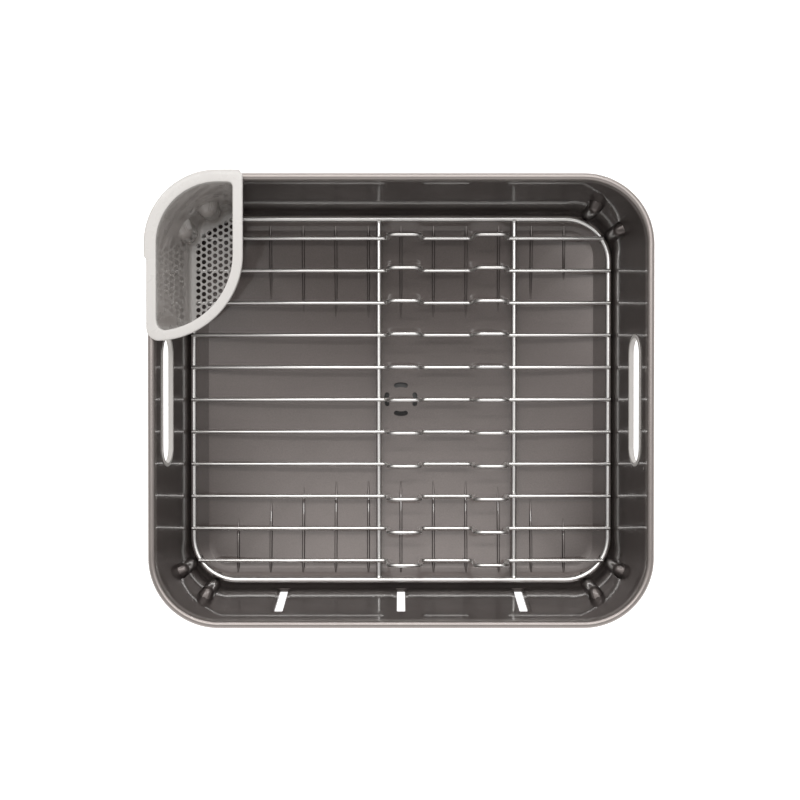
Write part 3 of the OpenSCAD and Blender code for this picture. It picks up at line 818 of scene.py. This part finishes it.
def caddy_turns():
    """Ray angles, packed closer where the outline bends tightly."""
    dense = np.linspace(0, 2 * math.pi, 4001)
    outline = trace(lambda x, y: body_distance(x, y, 60 * MM, 0.0), dense[:-1])
    edges = np.roll(outline, -1, 0) - outline
    step = np.linalg.norm(edges, axis=1)
    head = np.unwrap(np.arctan2(edges[:, 1], edges[:, 0]))
    bend = np.abs(np.gradient(head))
    bend = np.convolve(np.concatenate([bend[-60:], bend, bend[:60]]), np.ones(81) / 81, "same")[60:-60]
    share = step / step.sum() + 1.2 * bend / bend.sum() + 0.3 / len(step)
    weight = np.concatenate([[0], np.cumsum(share)])
    return np.interp(np.linspace(0, weight[-1], CAD_RAYS, endpoint=False), weight, dense)


def hook_grow(edge):
    """How strongly, and which way, the flange's edge widens into the hook over the tub's rim."""
    lip = smooth_step((edge[:, 1] - HOOK_Y) / (3 * MM))
    lip = lip * smooth_step((CAD_X1 - 0.5 * MM - edge[:, 0]) / (3 * MM))
    on_rim = (edge[:, 0] < CAD_X0 + 20 * MM) | (edge[:, 1] > CAD_Y1 - 20 * MM)
    lip = np.where(on_rim, lip, 0)
    core = np.array([-CORE_X, CORE_Y])
    out = edge - core
    out[:, 0] = np.where(edge[:, 0] > core[0], 0, out[:, 0])
    out[:, 1] = np.where(edge[:, 1] < core[1], 0, out[:, 1])
    out /= np.maximum(np.linalg.norm(out, axis=1), 1e-9)[:, None]
    return lip, out * (HOOK_T * lip)[:, None]


def caddy_rings():
    """The caddy's whole surface: bucket outside, hook, flange and mouth, then bucket inside."""
    turns = caddy_turns()

    def body(z, inset):
        return trace(lambda x, y: body_distance(x, y, z, inset), turns)

    def rim(inset):
        return trace(lambda x, y: leaf_distance(x, y, inset, inset, RIM_R - inset, 11 * MM, 4 * MM), turns)

    quarter = np.radians(np.linspace(0, 90, 8))
    under, top, r = CAD_TOP - CAD_T, CAD_TOP, CAD_ROUND
    foot = body(CAD_Z + r, 0)
    rings = [level(CADDY_C + (foot - CADDY_C) * t, CAD_Z) for t in (0.3, 0.65)]
    for a in quarter[::-1]:
        rings.append(level(body(CAD_Z + r, r * (1 - math.cos(a))), CAD_Z + r * (1 - math.sin(a))))
    for z in CAD_OUT_LEVELS:
        rings.append(level(body(z, 0), z))
    neck = body(under, 0)
    edge = rim(0)
    lip, grow = hook_grow(edge)
    drop = under - HOOK_H * lip
    rings += [level(neck, under), level(edge - (edge - neck) * 0.04, under),
              level(edge, under - 0.3 * MM * lip), level(edge, drop + 0.4 * MM * lip),
              level(edge + 0.25 * grow, drop), level(edge + 0.75 * grow, drop),
              level(edge + grow, drop + 0.5 * MM), level(edge + grow, top - 1.5 * MM)]
    e = FLANGE_R
    for a in quarter:
        inner = rim(e * (1 - math.cos(a)) + 1e-6)
        rings.append(level(inner + grow * (1 - 0.2 * math.sin(a)), top - e * (1 - math.sin(a))))
    mouth = body(top, CAD_WALL - MOUTH_R)
    for t in (0.35, 0.7):
        rings.append(level(inner * (1 - t) + mouth * t + grow * 0.8 * (1 - t), top))
    for a in np.radians(np.linspace(0, 90, 7)):
        inset, fall = CAD_WALL - MOUTH_R * (1 - math.sin(a)), MOUTH_R * (1 - math.cos(a))
        rings.append(level(body(top - MOUTH_R, inset), top - fall))
    for z in CAD_IN_LEVELS:
        rings.append(level(body(z, CAD_WALL), z))
    base = CAD_Z + CAD_WALL
    for a in quarter:
        rings.append(level(body(base + r, CAD_WALL + r * (1 - math.cos(a))), base + r * (1 - math.sin(a))))
    last = rings[-1][:, :2]
    rings += [level(last * (1 - t) + CADDY_C * t, base) for t in (0.35, 0.7)]
    return rings


def caddy_hole_data():
    """Round holes in a close staggered pattern over the caddy's floor."""
    parts = []
    dx = HOLE_PITCH * math.cos(math.radians(30))
    slip = (CAD_TOP - CAD_T - CAD_Z) * CAD_LEAN
    fx, fy = CAD_X1 - CAD_FRONT_R - slip, CAD_Y0 + CAD_FRONT_R + slip
    reach = wall_u(CAD_Z) - HOLE_WALL
    margin = CAD_LIP + HOLE_EDGE
    nubs = [(u * math.cos(math.radians(t)), u * math.sin(math.radians(t))) for u, t in zip(NUB_U, NUB_TURN)]
    prof = [(HOLE_D / 2, CAD_Z - 1 * MM), (HOLE_D / 2, CAD_Z + CAD_WALL + 1 * MM)]
    for i in range(10):
        for j in range(21):
            x = HOLE_X + i * dx
            y = HOLE_Y + (j + (i % 2) / 2) * HOLE_PITCH
            inside = x < CAD_X1 - slip - margin and y < CORE_Y + reach
            back = y < CORE_Y or x > -CORE_X or math.hypot(x + CORE_X, y - CORE_Y) < reach
            front = y > fy or x < fx or math.hypot(x - fx, y - fy) < CAD_FRONT_R - margin
            clear = all(math.hypot(x + CORE_X + a, y - CORE_Y - b) > HOLE_NUB for a, b in nubs)
            if inside and back and front and clear:
                parts.append(lathe_data(prof, 20, (x, y)))
    return parts


def caddy_bucket():
    """The bucket with the holes through its floor."""
    caddy = new_object("caddy_bucket", *loft_data(caddy_rings()))
    return cut(caddy, caddy_hole_data(), "caddy_cutters")


# ---------- materials ----------
class Nodes:
    """Short calls for one material's node tree."""

    def __init__(self, name):
        self.mat = bpy.data.materials.new(name)
        self.mat.use_nodes = True
        self.tree = self.mat.node_tree
        self.bsdf = self.tree.nodes["Principled BSDF"]
        self.coord = self.tree.nodes.new("ShaderNodeTexCoord").outputs["Object"]

    def put(self, socket, value):
        if isinstance(value, bpy.types.NodeSocket):
            self.tree.links.new(value, socket)
        else:
            socket.default_value = value

    def noise(self, scale, detail, rough):
        n = self.tree.nodes.new("ShaderNodeTexNoise")
        for k, v in (("Vector", self.coord), ("Scale", scale), ("Detail", detail), ("Roughness", rough)):
            self.put(n.inputs[k], v)
        return n.outputs["Fac"]

    def ramp(self, value, low, high, a, b):
        n = self.tree.nodes.new("ShaderNodeMapRange")
        self.put(n.inputs["Value"], value)
        for k, v in (("From Min", low), ("From Max", high), ("To Min", a), ("To Max", b)):
            self.put(n.inputs[k], v)
        return n.outputs["Result"]

    def product(self, a, b):
        n = self.tree.nodes.new("ShaderNodeMath")
        n.operation = "MULTIPLY"
        self.put(n.inputs[0], a)
        self.put(n.inputs[1], b)
        return n.outputs[0]

    def height(self):
        n = self.tree.nodes.new("ShaderNodeSeparateXYZ")
        self.put(n.inputs[0], self.coord)
        return n.outputs["Z"]

    def mix(self, fac, a, b):
        n = self.tree.nodes.new("ShaderNodeMix")
        n.data_type = "RGBA"
        self.put(n.inputs["Factor"], fac)
        self.put(n.inputs["A"], a)
        self.put(n.inputs["B"], b)
        return n.outputs["Result"]

    def bump(self, value, strength, distance, normal=None):
        n = self.tree.nodes.new("ShaderNodeBump")
        self.put(n.inputs["Strength"], strength)
        self.put(n.inputs["Distance"], distance)
        self.put(n.inputs["Height"], value)
        if normal is not None:
            self.put(n.inputs["Normal"], normal)
        return n.outputs["Normal"]

    def set(self, **values):
        names = {"color": "Base Color", "rough": "Roughness", "metal": "Metallic", "normal": "Normal",
                 "spec": "Specular IOR Level", "coat": "Coat Weight", "coat_rough": "Coat Roughness",
                 "coat_normal": "Coat Normal"}
        for k, v in values.items():
            self.put(self.bsdf.inputs[names[k]], v)
        return self.mat


def tub_plastic():
    """Warm dark grey metallic finish under gloss: mirror-like walls, a finely grained floor and a painted
    highlight lightening the rim bead.
    """
    m = Nodes("look_tub_plastic")
    floor = m.ramp(m.height(), 0.0225, 0.0245, 1.0, 0.0)
    # painted highlight: this mask gives the rim bead a lighter colour
    rim = m.ramp(m.height(), TUB_H - 0.010, TUB_H - 0.006, 0.0, 1.0)
    cloud = m.ramp(m.noise(9.0, 3, 0.55), 0.3, 0.7, 0.0, 1.0)
    speck = m.ramp(m.noise(900.0, 2, 0.6), 0.30, 0.70, 0.0, 0.35)
    base = m.mix(cloud, TUB_GREY[0], TUB_GREY[1])
    color = m.mix(m.product(speck, m.ramp(floor, 0.0, 1.0, 0.3, 1.0)), base, TUB_SPECK)
    color = m.mix(rim, color, TUB_RIM_SHEEN)
    rough = m.ramp(m.noise(26.0, 4, 0.6), 0.3, 0.7, 0.33, 0.40)
    grain = m.bump(m.noise(1300.0, 3, 0.6), m.ramp(floor, 0.0, 1.0, 0.12, 0.5), 0.00010)
    peel = m.bump(m.noise(70.0, 2, 0.5), 0.2, 0.00002)
    return m.set(color=color, rough=rough, metal=0.85, normal=grain,
                 coat=m.ramp(floor, 0.0, 1.0, 0.65, 0.9), coat_rough=0.04, coat_normal=peel)


def caddy_plastic():
    """Light warm grey glossy plastic: a satin flange and mirror-like walls, with painted shade making the
    walls darker.
    """
    m = Nodes("look_caddy_plastic")
    cloud = m.ramp(m.noise(12.0, 3, 0.5), 0.3, 0.7, 0.0, 1.0)
    # painted shade: this mask darkens the walls between the floor and the flange; it also sets the coat
    wall = m.product(m.ramp(m.height(), CAD_Z + 0.003, CAD_Z + 0.010, 0.0, 1.0),
                     m.ramp(m.height(), CAD_TOP - 0.006, CAD_TOP - 0.003, 1.0, 0.0))
    color = m.mix(wall, m.mix(cloud, *CADDY_PALE), m.mix(cloud, *CADDY_WALL_SHADE))
    rough = m.ramp(m.noise(40.0, 3, 0.6), 0.3, 0.7, 0.24, 0.34)
    return m.set(color=color, rough=rough, normal=m.bump(m.noise(260.0, 2, 0.5), 0.2, 0.00003),
                 spec=0.5, coat=m.ramp(wall, 0.0, 1.0, 0.2, 0.9), coat_rough=0.02,
                 coat_normal=m.bump(m.noise(18.0, 1, 0.5), 0.04, 0.00002))


def trim_plastic():
    """Satin light grey plastic with a fine spark grain."""
    m = Nodes("look_trim_plastic")
    color = m.mix(m.noise(30.0, 2, 0.5), (0.56, 0.538, 0.516, 1), (0.60, 0.578, 0.556, 1))
    rough = m.ramp(m.noise(500.0, 2, 0.5), 0.3, 0.7, 0.36, 0.50)
    return m.set(color=color, rough=rough, normal=m.bump(m.noise(1500.0, 2, 0.5), 0.4, 0.00005))


def foot_rubber():
    """Soft dark rubber, dull and a little dusty."""
    m = Nodes("look_foot_rubber")
    color = m.mix(m.noise(60.0, 4, 0.6), (0.028, 0.028, 0.028, 1), (0.050, 0.049, 0.048, 1))
    return m.set(color=color, rough=m.ramp(m.noise(200.0, 3, 0.5), 0.3, 0.7, 0.62, 0.82),
                 normal=m.bump(m.noise(2200.0, 2, 0.5), 0.5, 0.00006), spec=0.35)


def shutter_plastic():
    """Near-black satin plastic."""
    m = Nodes("look_shutter_plastic")
    color = m.mix(m.noise(50.0, 3, 0.5), (0.016, 0.015, 0.015, 1), (0.026, 0.025, 0.024, 1))
    return m.set(color=color, rough=m.ramp(m.noise(300.0, 2, 0.5), 0.3, 0.7, 0.30, 0.42),
                 normal=m.bump(m.noise(1200.0, 2, 0.5), 0.3, 0.00005))


def polished_steel():
    """Drawn stainless wire, polished bright, with faint drawing marks and waviness."""
    m = Nodes("look_polished_steel")
    tint = m.mix(m.noise(35.0, 3, 0.5), (0.80, 0.79, 0.77, 1), (0.88, 0.87, 0.86, 1))
    rough = m.ramp(m.noise(60.0, 3, 0.5), 0.3, 0.7, 0.28, 0.33)
    wave = m.bump(m.noise(30.0, 2, 0.5), 0.10, 0.00004)
    marks = m.bump(m.noise(260.0, 1, 0.5), 0.02, 0.00001, wave)
    return m.set(color=tint, rough=rough, metal=1.0, normal=marks)


def stage_floor():
    """Plain pale table that stays white without a hard shadow."""
    m = Nodes("stage_floor")
    color = m.mix(m.noise(2.0, 2, 0.5), (0.93, 0.93, 0.93, 1), (0.95, 0.95, 0.95, 1))
    m.put(m.bsdf.inputs["Emission Color"], (1.0, 1.0, 1.0, 1))
    m.put(m.bsdf.inputs["Emission Strength"], 0.75)
    return m.set(color=color, rough=0.7)


# ---------- putting it together ----------
def dress(obj, material, body, *nodes):
    """Gives a piece its material, the parts it stands for and its body."""
    obj.data.materials.clear()
    obj.data.materials.append(material)
    if nodes:
        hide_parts(*nodes)
    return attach(obj, body)


def build_object():
    """Every visible piece, body by body."""
    dark, steel, light = tub_plastic(), polished_steel(), caddy_plastic()
    trim, rubber, black = trim_plastic(), foot_rubber(), shutter_plastic()
    dress(tub_shell(), dark, "tub", "tub")
    for piece in (floor_ribs(), frame_steps(), legs_and_pin()):
        dress(piece, dark, "tub")
    for side in ("left", "right"):
        dress(trim_ring("trim_ring_" + side, side), trim, "tub", "trim_" + side)
    for front, sy in (("front", -1), ("rear", 1)):
        for side, sx in (("left", -1), ("right", 1)):
            corner = "%s_%s" % (front, side)
            dress(foot_cup("foot_cup_" + corner, sx, sy), rubber, "tub", "foot_" + corner)
    dress(screw_head(), steel, "tub", "drain_screw")
    dress(shutter_disc(), black, "shutter", "drain_shutter")
    dress(frame_wire(), steel, "rack", "rack_frame")
    for name, x in zip(("rail_left", "rail_right"), RAIL_X):
        dress(rail_wire(name + "_wire", x), steel, "rack", name)
    for i, name in enumerate(WIRES):
        dress(cross_wire(name, i), steel, "rack", name)
    dress(caddy_bucket(), light, "caddy", "caddy")


def area_light(name, place, target, size, power):
    """A soft lamp that faces a target."""
    light = bpy.data.lights.new(name, "AREA")
    light.shape = "RECTANGLE"
    light.size, light.size_y = size
    light.energy = power
    obj = bpy.data.objects.new(name, light)
    bpy.context.scene.collection.objects.link(obj)
    obj.location = place
    obj.rotation_euler = (Vector(target) - Vector(place)).to_track_quat("-Z", "Y").to_euler()


def sky(world):
    """Soft light from all round above: a bright patch behind the zenith, a dark one before it and a
    low glow in front."""
    tree = world.node_tree
    back = tree.nodes["Background"]
    coord = tree.nodes.new("ShaderNodeTexCoord").outputs["Generated"]

    def vector_node(operation, value):
        node = tree.nodes.new("ShaderNodeVectorMath")
        node.operation = operation
        tree.links.new(value, node.inputs[0])
        return node

    def cap(direction, wide, low, high, a, b):
        squeeze = vector_node("MULTIPLY", coord)
        squeeze.inputs[1].default_value = (1.0 / wide, 1.0, 1.0)
        unit = vector_node("NORMALIZE", squeeze.outputs["Vector"])
        lean = vector_node("DOT_PRODUCT", unit.outputs["Vector"])
        lean.inputs[1].default_value = Vector(direction).normalized()
        ramp = tree.nodes.new("ShaderNodeMapRange")
        ramp.interpolation_type = "SMOOTHSTEP"
        for k, v in (("From Min", low), ("From Max", high), ("To Min", a), ("To Max", b)):
            ramp.inputs[k].default_value = v
        tree.links.new(lean.outputs["Value"], ramp.inputs["Value"])
        return ramp.outputs["Result"]

    total = cap(*SKY_DOME)
    for patch in SKY_PATCHES:
        add = tree.nodes.new("ShaderNodeMath")
        add.operation = "ADD"
        tree.links.new(total, add.inputs[0])
        tree.links.new(cap(*patch), add.inputs[1])
        total = add.outputs[0]
    back.inputs["Color"].default_value = SKY_TINT
    tree.links.new(total, back.inputs["Strength"])


def studio():
    """The table, the sky and two long lamps."""
    e = TABLE / 2
    table = new_object("stage_table", [(-e, -e, 0), (e, -e, 0), (e, e, 0), (-e, e, 0)], [(0, 1, 2, 3)])
    table.data.materials.append(stage_floor())
    world = bpy.data.worlds.new("studio")
    world.use_nodes = True
    sky(world)
    bpy.context.scene.world = world
    for lamp in LAMPS:
        area_light(*lamp)


def camera():
    """A long lens high above the rim, almost straight down."""
    cam = bpy.data.cameras.new("view")
    cam.lens = LENS
    cam.sensor_width = SENSOR
    obj = bpy.data.objects.new("view", cam)
    bpy.context.scene.collection.objects.link(obj)
    look = Vector((math.sin(TILT_X), -math.sin(TILT_Y), -math.cos(TILT_Y))).normalized()
    back = -look
    right = Vector((0, 1, 0)).cross(back).normalized()
    up = back.cross(right)
    m = Matrix((right, up, back)).transposed().to_4x4()
    m.translation = Vector(CAMERA_AT)
    obj.matrix_world = m
    bpy.context.scene.camera = obj


build_object()
studio()
camera()
bpy.context.scene.view_settings.view_transform = "Standard"
